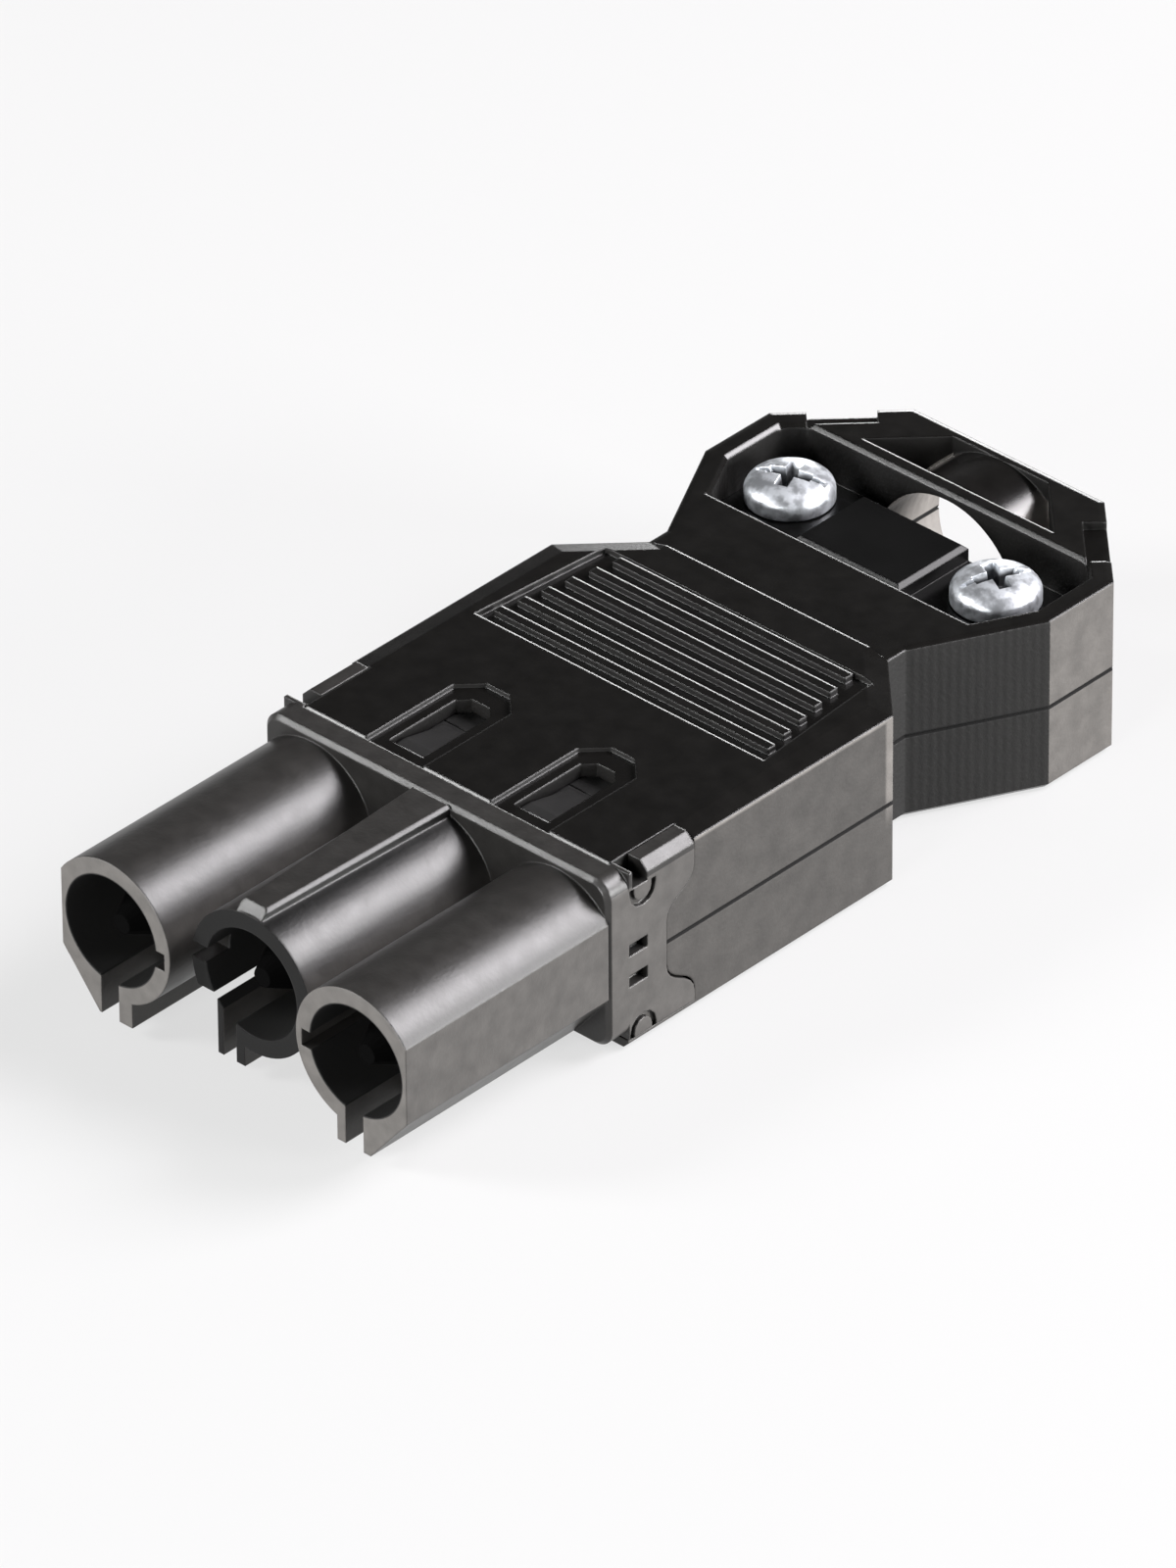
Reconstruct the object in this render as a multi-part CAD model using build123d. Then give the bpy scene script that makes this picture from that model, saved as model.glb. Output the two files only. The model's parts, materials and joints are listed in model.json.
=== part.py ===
from build123d import *
import os
from math import atan2, cos, degrees, pi, sin, sqrt

# Three-pole male installation connector with a two-part cable housing.
# Lengths are in millimetres. X runs across the poles, Y from the mating mouths to the cable end, Z up.
# While it is built, Y starts at the mouths of the outer tubes and Z at the underside of the lower shell.
# At export everything moves back by half the length, so the origin is under the middle of the part.

# Driving dimensions: whole connector
pole_pitch = 10.0
side_reach = 3.95
total_length = 68.7
lower_height = 6.0
upper_height = 6.6
axis_above_parting = 1.2

# Driving dimensions: mating tubes of the contact carrier
bore_radius = 3.7
tube_wall = 1.15
bore_depth = 16.2
middle_tube_setback = 1.6
keel_above_base = 0.9
keel_inner_reach = 1.6
keel_outer_reach = 1.1
keel_slot_offset = -0.2
keel_slot_width = 1.45
mouth_cut_depth = 6.0
groove_height = 1.2
groove_below_axis = 0.3
groove_skin = 0.45

# Driving dimensions: coding of the middle tube
middle_keel_left = -2.85
middle_keel_right = -0.65
middle_keel_above_base = 1.0
middle_slot_left = -2.4
middle_slot_right = -1.35
middle_cut_below_axis = 2.0
middle_notch_above_axis = 0.15
middle_notch_height = 1.1
middle_notch_depth = 2.0

# Driving dimensions: fin over the middle tube
fin_left_front = 1.15
fin_left_rear = 1.9
fin_right_front = 0.85
fin_right_rear = 1.3
fin_sink = 0.6
fin_nose = 0.7
fin_edge = 0.2
fin_split_width = 1.2
fin_split_depth = 2.6
fin_split_cover = 0.6

# Driving dimensions: flange and ears of the contact carrier
flange_front = 17.4
flange_thickness = 1.8
flange_overhang = 0.1
flange_above_base = 0.7
flange_corner = 1.3
flange_edge = 0.3
ear_length = 5.7
ear_waist_length = 3.25
ear_notch_half_height = 1.6
ear_lobe_height = 4.6
ear_bend_steps = 8
ear_bend_pull = 0.05
ear_top_gap_length = 1.3
ear_top_gap_depth = 1.2
ear_top_edge = 0.6
ear_window_length = 2.0
ear_window_height = 0.85
ear_window_behind_flange = 0.6
ear_window_spread = 1.1
ear_window_depth = 0.7
ear_mark_outer_radius = 1.15
ear_mark_inner_radius = 0.75
ear_mark_behind_flange = 1.2
ear_mark_spread = 5.0
ear_mark_arm = 0.35
ear_mark_depth = 0.3
ear_mark_steps = 6

# Driving dimensions: body of the contact carrier inside the shells
shoulder_behind_flange = 6.0
latch_spacing = 10.2
latch_width = 2.3
latch_behind_flange = 1.5
latch_length = 4.2
latch_crest = 0.8
latch_rise = 0.75
latch_sink = 0.5

# Driving dimensions: contacts
pin_radius = 1.6
root_step = 0.2
collar_step = 0.3
collar_length = 1.0
pin_recess = 0.9
tip_length = 3.0
tip_nose_length = 1.9
tip_nose_radius = 0.65
taper_sides = 16
spigot_radius = 0.8
spigot_length = 1.6
tongue_width = 2.5
tongue_thickness = 1.1

# Driving dimensions: screw terminals
cage_length = 6.0
cage_wall = 0.75
cage_floor = 0.9
cage_roof = 1.0
cage_over_collar = 0.3
terminal_screw_radius = 1.3
terminal_head_radius = 1.9
terminal_head_height = 1.1
terminal_head_below_roof = 0.2
terminal_slot_width = 0.6
terminal_slot_depth = 0.5
guard_thickness = 0.3
guard_width = 2.4
guard_setback = 1.0
guard_leg_below_roof = 0.3
guard_leg_gap = 0.4
cover_rear_wall = 1.2
wire_hole_radius = 1.5

# Driving dimensions: outline of the housing, from the rear forwards
rear_chamfer = 6.3
rear_side_length = 5.8
rear_bulge = 0.15
flare_length = 8.2
waist_length = 1.6
waist_inset = 4.2
rim_bevel_width = 1.45
rim_bevel_drop = 0.4
base_edge = 0.4
parting_edge = 0.12
front_edge = 0.25
rear_drop = 0.3
chamfer_dip = 0.6
chamfer_dip_margin = 1.6
chamfer_dip_width = 1.5
shell_wall = 1.3
shell_floor = 1.2
shell_roof = 1.25
lip_thickness = 0.6
lip_height = 0.8
lip_margin = 2.0

# Driving dimensions: latch windows and grip fields of the shells
window_width = 2.8
window_behind_flange = 1.2
window_length = 6.5
window_corner = 0.7
dish_width = 4.7
dish_length = 9.2
dish_depth = 0.3
dish_corner = 1.4
grip_count = 6
grip_pitch = 1.75
grip_past_shoulder = 1.0
grip_rib_width = 0.7
grip_depth = 0.4
grip_rib_side_front = 2.75
grip_rib_side_rear = 4.45
grip_field_side = 2.15
grip_field_front_margin = 1.0
grip_field_rear_margin = 0.2

# Driving dimensions: cable channel and clamp well, from the rear forwards
channel_radius = 5.7
channel_floor = 0.95
clamp_step = 1.1
well_from_rear = 5.7
well_length = 9.8
well_bulkhead = 1.6
well_rim = 1.5
well_corner = 1.1
well_edge = 0.25
well_floor_above_parting = 2.95
cradle_rib_count = 3
cradle_rib_width = 0.8
rear_core_wall = 1.0
rear_core_rim = 0.75
rear_core_side = 3.3
rear_core_depth = 3.6
rear_core_shield = 0.55

# Driving dimensions: clamp bar, clamp screws, nuts and locating pegs
bar_length = 6.4
bar_end_thickness = 1.6
bar_end_margin = 0.05
bar_end_corner = 1.0
bar_plate_half_width = 4.3
bar_plate_above_parting = 5.7
bar_plate_edge = 0.3
bar_saddle_above_parting = 2.0
clamp_screw_land = 2.74
clamp_screw_from_bar_rear = 2.15
clamp_screw_radius = 1.5
clamp_head_radius = 2.85
clamp_head_height = 1.9
clamp_screw_length = 9.9
cross_width = 0.7
cross_length = 3.4
cross_depth = 1.1
nut_across_flats = 5.5
nut_sides = 6
nut_thickness = 2.4
nut_above_base = 0.5
peg_radius = 1.0
peg_height = 1.4
peg_from_side = 3.7
peg_from_rear = 6.1

# Clearances
fit = 0.1
thread_fit = 0.05
hole_fit = 0.2
side_fit = 0.15
well_gap = 0.6
saddle_gap = 0.2

# Places worked out from the driving dimensions: across
shell_half = pole_pitch + side_reach
rear_half = shell_half + rear_bulge
end_half = rear_half - rear_chamfer
waist_half = shell_half - waist_inset
flange_half = shell_half + flange_overhang
carrier_half = shell_half - shell_wall - side_fit
tube_radius = bore_radius + tube_wall
pole_x = [-pole_pitch, 0.0, pole_pitch]
pole_names = ["line", "earth", "neutral"]
tube_front = [0.0, middle_tube_setback, 0.0]
latch_x = [-latch_spacing / 2, latch_spacing / 2]
clamp_x = [-channel_radius - clamp_screw_land, channel_radius + clamp_screw_land]
bar_half = clamp_x[1] + clamp_head_radius + bar_end_margin
peg_x = rear_half - peg_from_side

# Places worked out from the driving dimensions: along
shell_front = flange_front + flange_thickness
ear_rear = shell_front + ear_length
ear_notch_front = shell_front + ear_waist_length
carrier_shoulder = shell_front + shoulder_behind_flange
collar_front = carrier_shoulder + fit
collar_rear = collar_front + collar_length
cage_front = collar_rear
cage_rear = cage_front + cage_length
carrier_rear = cage_rear + guard_thickness + guard_leg_gap
terminal_screw_y = (cage_front + cage_rear) / 2
rear_side_end = total_length - rear_chamfer
flare_end = rear_side_end - rear_side_length
flare_start = flare_end - flare_length
waist_start = flare_start - waist_length
shoulder_start = waist_start - waist_inset
grip_last = shoulder_start + grip_past_shoulder
well_rear = total_length - well_from_rear
well_front = well_rear - well_length
chamber_end = well_front - well_bulkhead
bar_front = well_front + well_gap
bar_rear = bar_front + bar_length
clamp_screw_y = bar_rear - clamp_screw_from_bar_rear
peg_y = total_length - peg_from_rear

# Places worked out from the driving dimensions: up
parting = lower_height
top = lower_height + upper_height
rear_top = top - rear_drop
axis_z = parting + axis_above_parting
root_radius = pin_radius + root_step
collar_radius = root_radius + collar_step
clamp_radius = channel_radius - clamp_step
carrier_floor_z = shell_floor + fit
carrier_roof_z = top - shell_roof - fit
passage_floor_z = axis_z - pin_radius
cage_bottom_z = passage_floor_z - cage_floor
cage_top_z = axis_z + collar_radius + cage_over_collar
passage_roof_z = cage_top_z - cage_roof
terminal_head_z = carrier_roof_z - terminal_head_below_roof - terminal_head_height
guard_top_z = passage_roof_z - fit
guard_bottom_z = guard_top_z - guard_thickness
tongue_top_z = passage_floor_z + tongue_thickness
wire_z = (tongue_top_z + guard_bottom_z) / 2
well_floor_z = parting + well_floor_above_parting
bar_end_top_z = well_floor_z + bar_end_thickness
bar_plate_top_z = parting + bar_plate_above_parting
saddle_bottom_z = parting + bar_saddle_above_parting

# How far a cut starts outside the body that it cuts
beyond = 1.0


def block(x0, x1, y0, y1, z0, z1):
    """Rectangular block between two corners."""
    corner = (Align.MIN, Align.MIN, Align.MIN)
    return Pos(x0, y0, z0) * Box(x1 - x0, y1 - y0, z1 - z0, align=corner)


def rod_y(x, z, radius, y0, y1):
    """Round bar along Y."""
    bar = Cylinder(radius, y1 - y0, align=(Align.CENTER, Align.CENTER, Align.MIN))
    return Pos(x, y0, z) * Rot(-90, 0, 0) * bar


def rod_z(x, y, radius, z0, z1):
    """Round bar along Z."""
    bar = Cylinder(radius, z1 - z0, align=(Align.CENTER, Align.CENTER, Align.MIN))
    return Pos(x, y, z0) * bar


def taper_y(x, z, front_radius, rear_radius, y0, y1):
    """Flat-sided taper along Y, its wide end at the rear."""
    slope = degrees(atan2((rear_radius - front_radius) * cos(pi / taper_sides), y1 - y0))
    nose = extrude(RegularPolygon(rear_radius, taper_sides), y1 - y0, taper=slope)
    return Pos(x, y1, z) * Rot(90, 0, 0) * nose


def slab(points, z0, z1):
    """Upright prism over an outline given in X and Y."""
    return Pos(0, 0, z0) * extrude(make_face(Polyline(*points, close=True)), z1 - z0)


def between(low_points, high_points, z0, z1):
    """Body with sloping sides between two outlines of as many corners."""
    low = Pos(0, 0, z0) * make_face(Polyline(*low_points, close=True))
    high = Pos(0, 0, z1) * make_face(Polyline(*high_points, close=True))
    return loft([low, high])


def cross_section_y(points, y0, y1):
    """Prism along Y over an outline given in X and Z."""
    outline = Polyline(*[(x, y0, z) for x, z in points], close=True)
    return extrude(make_face(outline), y1 - y0, dir=(0, 1, 0))


def cross_section_x(points, x0, x1):
    """Prism along X over an outline given in Y and Z."""
    outline = Polyline(*[(x0, y, z) for y, z in points], close=True)
    return extrude(make_face(outline), x1 - x0, dir=(1, 0, 0))


def mirrored(right_side):
    """Closed outline from the points of its right side, listed from front to rear."""
    return right_side + [(-x, y) for x, y in reversed(right_side)]


# Places of the flare's rear corner and the rear side's end in the list that shell_outline gives
FLARE_CORNER = 4
REAR_CORNER = 5


def shell_outline(inset, front=shell_front):
    """Outline of the housing, moved inwards by an even wall."""
    turn = inset * (sqrt(2) - 1)
    flare_rise = rear_half - waist_half
    flare_turn = inset * (sqrt(flare_length**2 + flare_rise**2) - flare_length) / flare_rise
    return mirrored([
        (shell_half - inset, front),
        (shell_half - inset, shoulder_start - turn),
        (waist_half - inset, waist_start - turn),
        (waist_half - inset, flare_start + flare_turn),
        (rear_half - inset, flare_end + flare_turn),
        (rear_half - inset, rear_side_end - turn),
        (end_half - turn, total_length - inset),
    ])


def outer_tube(x):
    """Outer mating tube: round, flat on the outside, with a keel below and a slot through the keel."""
    side = 1 if x > 0 else -1
    edge = side * flange_half
    flat_drop = sqrt(tube_radius**2 - (flange_half - pole_pitch) ** 2)
    keel_inner_x = x - side * keel_inner_reach
    keel = [
        (keel_inner_x, axis_z),
        (keel_inner_x, keel_above_base),
        (x + side * keel_outer_reach, keel_above_base),
        (edge, axis_z - flat_drop),
        (edge, axis_z),
    ]
    body = rod_y(x, axis_z, tube_radius, 0, flange_front) + cross_section_y(keel, 0, flange_front)
    body = body & block(min(0, edge), max(0, edge), 0, flange_front, 0, top)
    body -= rod_y(x, axis_z, bore_radius, -beyond, flange_front + beyond)
    slot_middle = x + keel_slot_offset
    body -= block(
        slot_middle - keel_slot_width / 2, slot_middle + keel_slot_width / 2,
        -beyond, mouth_cut_depth, 0, axis_z,
    )
    groove_top = axis_z - groove_below_axis + groove_height / 2
    groove_end = x - side * (tube_radius - groove_skin)
    return body - block(
        min(x, groove_end), max(x, groove_end), -beyond, mouth_cut_depth,
        groove_top - groove_height, groove_top,
    )


def middle_tube():
    """Middle mating tube, set back, with a keel to one side and the coding cuts in its mouth."""
    mouth = middle_tube_setback
    body = rod_y(0, axis_z, tube_radius, mouth, flange_front)
    body += block(middle_keel_left, middle_keel_right, mouth, flange_front, middle_keel_above_base, axis_z)
    body -= rod_y(0, axis_z, bore_radius, mouth - beyond, flange_front + beyond)
    cut_rear = mouth + mouth_cut_depth
    body -= block(
        -tube_radius - beyond, middle_keel_left, mouth - beyond, cut_rear, 0, axis_z - middle_cut_below_axis,
    )
    body -= block(middle_slot_left, middle_slot_right, mouth - beyond, cut_rear, 0, axis_z)
    notch_z = axis_z - middle_notch_above_axis
    body -= block(
        -tube_radius - beyond, 0, mouth - beyond, mouth + middle_notch_depth,
        notch_z, notch_z + middle_notch_height,
    )
    return body


def fin():
    """Rib from the middle tube up to the top of the flange, wider towards the flange."""
    base = axis_z + tube_radius - fin_sink
    plan = [
        (-fin_left_front, middle_tube_setback),
        (fin_right_front, middle_tube_setback),
        (fin_right_rear, flange_front),
        (-fin_left_rear, flange_front),
    ]
    body = slab(plan, base, top)
    crest = body.faces().sort_by(Axis.Z)[-1].edges().sort_by(Axis.Y)
    body = chamfer(crest[0], fin_nose)
    crest = body.faces().sort_by(Axis.Z)[-1].edges().sort_by(Axis.X)
    body = chamfer([crest[0], crest[-1]], fin_edge)
    split = fin_split_width / 2
    return body - block(
        -split, split, middle_tube_setback - beyond, middle_tube_setback + fin_split_depth,
        0, top - fin_split_cover,
    )


def ear_bend(grow, lift):
    """Points of the S-shaped step from an ear's waist out to its lobe; lift is 1 above and -1 below."""
    points = []
    for i in range(ear_bend_steps + 1):
        t = i / ear_bend_steps
        along = (1 - cos(pi * t)) / 2
        rise = t + ear_bend_pull * sin(2 * pi * t)
        y = ear_notch_front + (ear_rear - ear_notch_front) * along + grow
        half = ear_notch_half_height + (ear_lobe_height - ear_notch_half_height) * rise - grow
        points.append((y, parting + lift * half))
    return points


def ear_outline(grow):
    """Side view of a carrier ear, with a waist for the tongue of the shells; grow makes room round it."""
    rear = ear_rear + grow
    base = flange_above_base - grow
    upper = [(shell_front, top), (rear, top)] + ear_bend(grow, 1)[::-1]
    return upper + ear_bend(grow, -1) + [(rear, base), (shell_front, base)]


def ear_body(grow, x0, x1):
    """Ear shape made thick between two places across the part."""
    return cross_section_x(ear_outline(grow), x0, x1)


def ear_mark(face, lift):
    """Cutter for the small U-shaped groove on the side of an ear; lift is 1 above and -1 below."""
    y = shell_front + ear_mark_behind_flange
    z = parting + lift * ear_mark_spread
    outer = []
    inner = []
    for i in range(ear_mark_steps + 1):
        turn = pi * i / ear_mark_steps
        for radius, line in ((ear_mark_outer_radius, outer), (ear_mark_inner_radius, inner)):
            line.append((y + radius * cos(turn), z - lift * radius * sin(turn)))
    end = z + lift * ear_mark_arm
    outline = [(outer[0][0], end)] + outer + [(outer[-1][0], end), (inner[-1][0], end)]
    outline += inner[::-1] + [(inner[0][0], end)]
    return cross_section_x(outline, face - ear_mark_depth, face + ear_mark_depth)


def carrier_ear(side):
    """One ear with its windows, marks and bevelled top."""
    inner, outer = sorted((side * carrier_half, side * flange_half))
    body = ear_body(0, inner, outer)
    face = side * flange_half
    for lift in (-1, 1):
        y = shell_front + ear_window_behind_flange
        z = parting + lift * ear_window_spread
        body -= Pos(face, y, z) * Box(2 * ear_window_depth, ear_window_length, ear_window_height)
        body -= ear_mark(face, lift)
    gap_front = shell_front + flange_edge
    body -= block(
        inner - beyond, outer + beyond, gap_front, gap_front + ear_top_gap_length,
        top - ear_top_gap_depth, top,
    )
    bevel = [(face, top - ear_top_edge), (face, top), (face - side * ear_top_edge, top)]
    return body - cross_section_y(bevel, gap_front, ear_rear)


def flange():
    """Plate between the tubes and the ears, with rounded corners and broken edges."""
    body = block(-flange_half, flange_half, flange_front, shell_front, flange_above_base, top)
    body = fillet(body.edges().filter_by(Axis.Y), flange_corner)
    return chamfer(body.faces().sort_by(Axis.Y)[0].edges(), flange_edge)


def latch_nose(x, face_z, sign):
    """Wedge that snaps into a window of a shell, on the roof or the floor of the carrier."""
    front = shell_front + latch_behind_flange
    crest = face_z + sign * latch_rise
    foot = face_z - sign * latch_sink
    side_view = [
        (front, foot),
        (front, crest),
        (front + latch_crest, crest),
        (front + latch_length, face_z),
        (front + latch_length, foot),
    ]
    return cross_section_x(side_view, x - latch_width / 2, x + latch_width / 2)


def contact_carrier():
    """Front insert: three tubes, flange, ears and the open chambers of the terminals."""
    body = flange()
    for x in pole_x:
        body += outer_tube(x) if x else middle_tube()
    body += fin()
    half = carrier_half
    body += block(-half, half, shell_front, carrier_shoulder, carrier_floor_z, carrier_roof_z)
    body += block(-half, half, carrier_shoulder, carrier_rear, carrier_floor_z, cage_top_z)
    body += carrier_ear(-1) + carrier_ear(1)
    for x, mouth in zip(pole_x, tube_front):
        body -= rod_y(x, axis_z, bore_radius, mouth, bore_depth)
        body -= rod_y(x, axis_z, root_radius + fit, bore_depth - beyond, carrier_shoulder + beyond)
        room = collar_radius + fit
        body -= block(x - room, x + room, carrier_shoulder, carrier_rear + beyond, cage_bottom_z, top)
    for x in latch_x:
        body += latch_nose(x, carrier_roof_z, 1)
        body += latch_nose(x, carrier_floor_z, -1)
    return body


def contact_pin(x, mouth):
    """Turned pin with a collar, and a flat tongue that lies on the floor of the terminal cage."""
    front = mouth + pin_recess + tip_length
    body = rod_y(x, axis_z, pin_radius, front, bore_depth)
    body += rod_y(x, axis_z, root_radius, bore_depth, collar_front)
    body += rod_y(x, axis_z, collar_radius, collar_front, collar_rear)
    half = tongue_width / 2
    body += block(x - half, x + half, collar_front, cage_rear, passage_floor_z, tongue_top_z)
    return body - rod_y(x, axis_z, spigot_radius + thread_fit, front - beyond, front + spigot_length + fit)


def pin_tip(x, mouth):
    """Insulating tapered nose of a pin, held by a spigot."""
    start = mouth + pin_recess
    nose_end = start + tip_nose_length
    rear = start + tip_length
    body = taper_y(x, axis_z, tip_nose_radius, pin_radius, start, nose_end)
    body += rod_y(x, axis_z, pin_radius, nose_end, rear)
    return body + rod_y(x, axis_z, spigot_radius, nose_end, rear + spigot_length)


def terminal_cage(x):
    """Metal frame round the pin's tongue and the wire, with a threaded roof."""
    half = collar_radius
    inner = half - cage_wall
    body = block(x - half, x + half, cage_front, cage_rear, cage_bottom_z, cage_top_z)
    body -= block(
        x - inner, x + inner, cage_front - beyond, cage_rear + beyond, passage_floor_z, passage_roof_z,
    )
    hole = terminal_screw_radius + thread_fit
    return body - rod_z(x, terminal_screw_y, hole, passage_roof_z - beyond, cage_top_z + beyond)


def terminal_screw(x):
    """Slotted cheese-head screw standing in the cage roof, its end on the wire guard."""
    head_top = terminal_head_z + terminal_head_height
    body = rod_z(x, terminal_screw_y, terminal_screw_radius, guard_top_z, terminal_head_z)
    body += rod_z(x, terminal_screw_y, terminal_head_radius, terminal_head_z, head_top)
    slot = terminal_slot_width / 2
    reach = terminal_head_radius + beyond
    return body - block(
        x - reach, x + reach, terminal_screw_y - slot, terminal_screw_y + slot,
        head_top - terminal_slot_depth, head_top + beyond,
    )


def wire_guard(x):
    """Spring leaf under the screw, with a leg that hooks behind the cage."""
    half = guard_width / 2
    leg_rear = cage_rear + guard_thickness
    body = block(x - half, x + half, cage_front + guard_setback, leg_rear, guard_bottom_z, guard_top_z)
    leg_top = cage_top_z - guard_leg_below_roof
    return body + block(x - half, x + half, cage_rear, leg_rear, guard_bottom_z, leg_top)


def carrier_cover():
    """Lid over the terminals with holes for the screw heads, and a rear wall with holes for the wires."""
    rear = carrier_rear + cover_rear_wall
    half = carrier_half
    body = block(-half, half, carrier_shoulder + fit, rear, cage_top_z, carrier_roof_z)
    body += block(-half, half, carrier_rear, rear, carrier_floor_z, carrier_roof_z)
    for x in pole_x:
        body -= rod_z(x, terminal_screw_y, terminal_head_radius + hole_fit, cage_top_z - beyond, top)
        body -= rod_y(x, wire_z, wire_hole_radius, carrier_rear - beyond, rear + beyond)
    return body


def cable_channel():
    """Round channel about the cable's line, with a flat floor where the lower wall would grow thin."""
    front = chamber_end - beyond
    rear = total_length + beyond
    channel = rod_y(0, parting, channel_radius, front, rear)
    reach = channel_radius
    return channel & block(-reach, reach, front, rear, channel_floor, top + reach)


def latch_window(x, face_z, sign):
    """Window for a latch nose, with a shallow dish round it in the outer face."""
    half = window_width / 2
    front = shell_front + window_behind_flange
    rear = front + window_length
    low, high = sorted((face_z + sign * beyond, face_z - sign * (shell_roof + beyond)))
    opening = slab([
        (x - half, front),
        (x + half, front),
        (x + half, rear - window_corner),
        (x + half - window_corner, rear),
        (x - half + window_corner, rear),
        (x - half, rear - window_corner),
    ], low, high)
    wide = dish_width / 2
    dish_rear = shell_front + dish_length
    low, high = sorted((face_z - sign * dish_depth, face_z + sign * beyond))
    return opening + slab([
        (x - wide, shell_front - beyond),
        (x + wide, shell_front - beyond),
        (x + wide, dish_rear - dish_corner),
        (x + wide - dish_corner, dish_rear),
        (x - wide + dish_corner, dish_rear),
        (x - wide, dish_rear - dish_corner),
    ], low, high)


def grip_cut(face_z, sign):
    """Sunk grip field; the cross ribs that stay in it are level with the face."""
    grip_first = grip_last - (grip_count - 1) * grip_pitch
    front = grip_first - grip_rib_width / 2 - grip_field_front_margin
    rear = grip_last + grip_rib_width / 2 + grip_field_rear_margin
    low, high = sorted((face_z - sign * grip_depth, face_z + sign * beyond))
    narrowing = (grip_rib_side_rear - grip_rib_side_front) / 2
    wide = shell_half - grip_field_side
    field = slab(mirrored([(wide, front), (wide - narrowing, rear)]), low, high)
    for i in range(grip_count):
        share = i / (grip_count - 1)
        half = shell_half - grip_rib_side_front + (grip_rib_side_front - grip_rib_side_rear) * share
        y = grip_first + i * grip_pitch
        reach = grip_rib_width / 2
        field -= block(-half, half, y - reach, y + reach, low - beyond, high + beyond)
    return field


def ear_room(z0, z1):
    """Space that the carrier's ears take out of the shell walls."""
    outer = flange_half + beyond
    inner = carrier_half - fit
    room = ear_body(fit, -outer, -inner) + ear_body(fit, inner, outer)
    return room & block(-outer, outer, shell_front, ear_rear + beyond, z0, z1)


def well_outline(inset):
    """Outline of the clamp well, an even rim inside the rear of the housing."""
    rim = well_rim + inset
    right_side = shell_outline(rim)[FLARE_CORNER : REAR_CORNER + 1]
    flare = (rear_half - waist_half) / flare_length
    front = well_front + inset
    rear = well_rear - inset
    front_half = waist_half + (front - flare_start) * flare - rim * sqrt(1 + flare**2)
    side_half, side_end = right_side[1]
    rear_x = side_half - max(0.0, rear - side_end)
    return mirrored([(front_half, front)] + right_side + [(rear_x, rear)])


def clamp_well():
    """Well for the clamp bar: rounded corners, a broken edge on top and a throat down to the cable."""
    hollow = slab(well_outline(0), well_floor_z, top + beyond)
    hollow = fillet(hollow.edges().filter_by(Axis.Z), well_corner)
    hollow += between(well_outline(well_edge), well_outline(-well_edge), rear_top - 2 * well_edge, rear_top)
    reach = channel_radius
    return hollow + block(-reach, reach, well_front, well_rear, parting - beyond, top + beyond)


def rear_core():
    """Cored pocket round the cable channel in the rear wall, which leaves an even wall round the channel."""
    front = well_rear + rear_core_wall
    rear = total_length - rear_core_rim
    front_half = end_half + (total_length - front) - rear_core_side * sqrt(2)
    rear_half_width = front_half - (rear - front)
    outline = mirrored([(front_half, front), (rear_half_width, rear)])
    pocket = slab(outline, rear_top - rear_core_depth, top + beyond)
    return pocket - rod_y(0, parting, channel_radius + rear_core_shield, front - beyond, total_length)


def chamfer_dips():
    """Shallow dips in the top edge of the two rear chamfers."""
    dips = []
    for side in (-1, 1):
        outer = rear_half - chamfer_dip_margin
        inner = end_half + chamfer_dip_margin
        outer_y = rear_side_end + chamfer_dip_margin
        inner_y = total_length - chamfer_dip_margin
        across = chamfer_dip_width / sqrt(2)
        dips.append(slab([
            (side * (outer - across), outer_y - across),
            (side * (outer + beyond), outer_y + beyond),
            (side * (inner + beyond), inner_y + beyond),
            (side * (inner - across), inner_y - across),
        ], rear_top - chamfer_dip, top + beyond))
    return dips


def lip_ring(outer_inset, inner_inset, z0, z1):
    """Ring beside the side walls of the chamber, used for the lip and for its rebate."""
    ring = slab(shell_outline(outer_inset), z0, z1)
    ring -= slab(shell_outline(inner_inset), z0 - beyond, z1 + beyond)
    return ring & block(-shell_half, shell_half, ear_rear + lip_margin, chamber_end - lip_margin, z0, z1)


def chamber(z0, z1):
    """Inner space of a shell, open at the front."""
    room = slab(shell_outline(shell_wall, shell_front - beyond), z0, z1)
    return room & block(-shell_half, shell_half, 0, chamber_end, z0, z1)


def upper_shell():
    """Upper half of the housing with the clamp well, the latch windows and the grip."""
    body = slab(shell_outline(0), parting, top - rim_bevel_drop)
    rim = body.faces().sort_by(Axis.Z)[0].edges().filter_by(lambda e: e.center().Y > shell_front + fit)
    body = chamfer(rim, parting_edge)
    body += between(shell_outline(0), shell_outline(rim_bevel_width), top - rim_bevel_drop, top)
    body -= block(-rear_half, rear_half, waist_start, total_length + beyond, rear_top, top + beyond)
    front_bevel = [(shell_front, top - front_edge), (shell_front + front_edge, top), (shell_front, top)]
    body -= cross_section_x(front_bevel, -shell_half, shell_half)
    body -= chamber(parting - beyond, top - shell_roof)
    body -= ear_room(parting - beyond, top + beyond)
    body -= cable_channel()
    body -= clamp_well()
    body -= rear_core()
    for dip in chamfer_dips():
        body -= dip
    body -= lip_ring(
        shell_wall - lip_thickness - fit, shell_wall + beyond, parting - beyond, parting + lip_height + fit,
    )
    for x in latch_x:
        body -= latch_window(x, top, 1)
    body -= grip_cut(top, 1)
    for x in clamp_x:
        body -= rod_z(x, clamp_screw_y, clamp_screw_radius + hole_fit, parting - beyond, top)
    for x in (-peg_x, peg_x):
        body -= rod_z(x, peg_y, peg_radius + fit, parting - beyond, parting + peg_height + hole_fit)
    return body


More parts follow.
